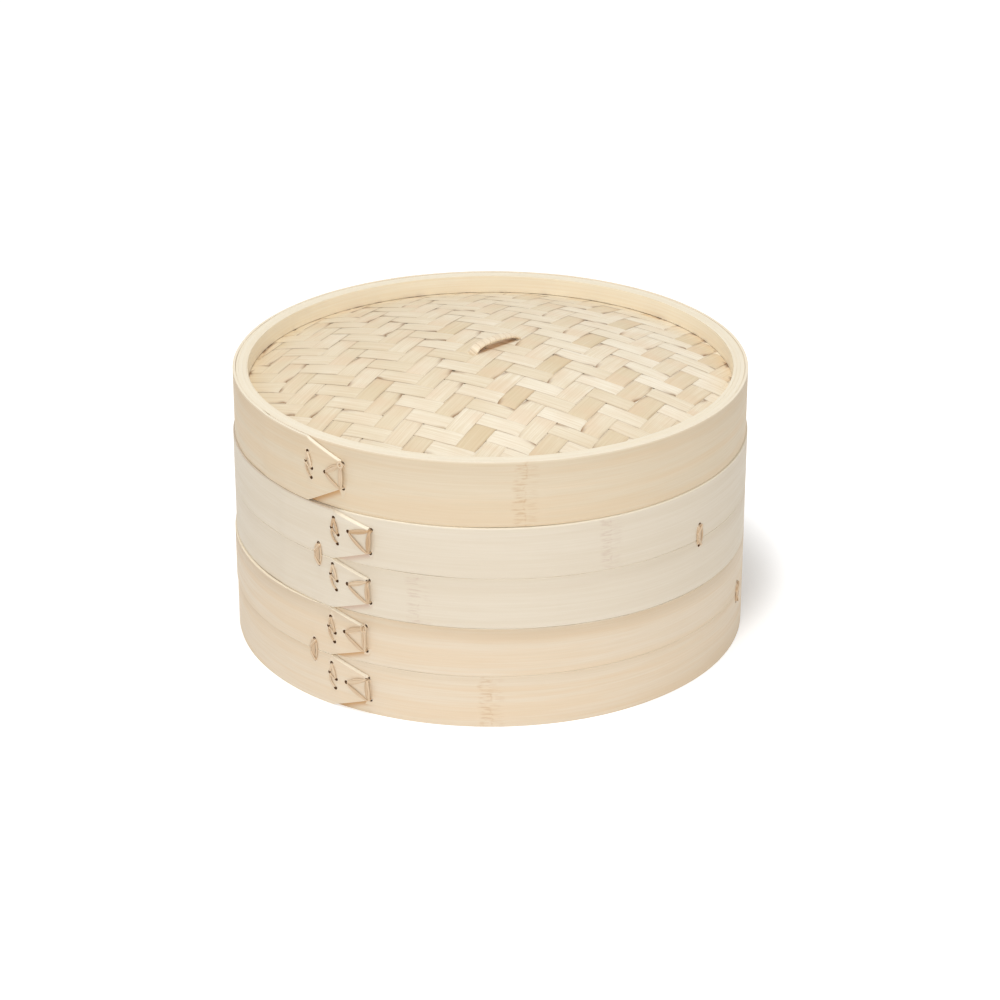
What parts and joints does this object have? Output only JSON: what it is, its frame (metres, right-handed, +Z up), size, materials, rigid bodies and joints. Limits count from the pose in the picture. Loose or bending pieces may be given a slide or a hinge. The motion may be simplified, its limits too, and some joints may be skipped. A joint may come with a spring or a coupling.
{
  "type": "bamboo steamer",
  "caption": "Round stacking bamboo steamer: bands wound from lapped strips laced with cane, slatted floors, and a domed woven lid with a small arched handle.",
  "frame": {"origin": "centre of the circle that the lower tier stands on, at the height of that surface", "axes": "+Z up out of the lid, -Y towards the side with the laced laps, +X to the right of that side"},
  "size_m": [0.2555, 0.2556, 0.1483],
  "materials": {
    "warm_band": "planed bamboo, satin",
    "pale_band": "planed bamboo, satin",
    "hoop": "planed bamboo, satin",
    "weave": "split bamboo strips, satin",
    "backing": "bamboo mat, matte",
    "cane": "split cane, satin",
    "slat": "planed bamboo, matte"
  },
  "bodies": {
    "lower_tier": {"lower_tier_lower_band": "warm_band", "lower_tier_lower_point_lacing": "cane", "lower_tier_lower_column_lacing": "cane", "lower_tier_upper_band": "warm_band", "lower_tier_upper_point_lacing": "cane", "lower_tier_upper_column_lacing": "cane", "lower_tier_inner_hoop": "hoop", "lower_tier_seam_tie_1": "cane", "lower_tier_seam_tie_2": "cane", "lower_tier_seam_tie_3": "cane", "lower_tier_seam_tie_4": "cane", "lower_tier_rib_1": "slat", "lower_tier_rib_2": "slat", "lower_tier_floor_hoop": "hoop", "lower_tier_slat_1": "slat", "lower_tier_slat_2": "slat", "lower_tier_slat_3": "slat", "lower_tier_slat_4": "slat", "lower_tier_slat_5": "slat", "lower_tier_slat_6": "slat", "lower_tier_slat_7": "slat", "lower_tier_slat_8": "slat", "lower_tier_slat_9": "slat", "lower_tier_slat_10": "slat", "lower_tier_slat_11": "slat"},
    "upper_tier": {"upper_tier_lower_band": "pale_band", "upper_tier_lower_point_lacing": "cane", "upper_tier_lower_column_lacing": "cane", "upper_tier_upper_band": "pale_band", "upper_tier_upper_point_lacing": "cane", "upper_tier_upper_column_lacing": "cane", "upper_tier_inner_hoop": "hoop", "upper_tier_seam_tie_1": "cane", "upper_tier_seam_tie_2": "cane", "upper_tier_seam_tie_3": "cane", "upper_tier_seam_tie_4": "cane", "upper_tier_rib_1": "slat", "upper_tier_rib_2": "slat", "upper_tier_floor_hoop": "hoop", "upper_tier_slat_1": "slat", "upper_tier_slat_2": "slat", "upper_tier_slat_3": "slat", "upper_tier_slat_4": "slat", "upper_tier_slat_5": "slat", "upper_tier_slat_6": "slat", "upper_tier_slat_7": "slat", "upper_tier_slat_8": "slat", "upper_tier_slat_9": "slat", "upper_tier_slat_10": "slat", "upper_tier_slat_11": "slat"},
    "lid": {"lid_outer_band": "warm_band", "lid_point_lacing": "cane", "lid_column_lacing": "cane", "lid_top_hoop": "hoop", "lid_lower_hoop": "hoop", "lid_woven_top": "weave", "lid_backing_mat": "backing", "lid_handle": "cane"}
  },
  "joints": [
    {"name": "upper_tier_lift", "type": "slide", "parent": "lower_tier", "child": "upper_tier", "axis": [0, 0, 1], "range_m": [0, 0.12]},
    {"name": "lid_lift", "type": "slide", "parent": "upper_tier", "child": "lid", "axis": [0, 0, 1], "range_m": [0, 0.12]}
  ]
}
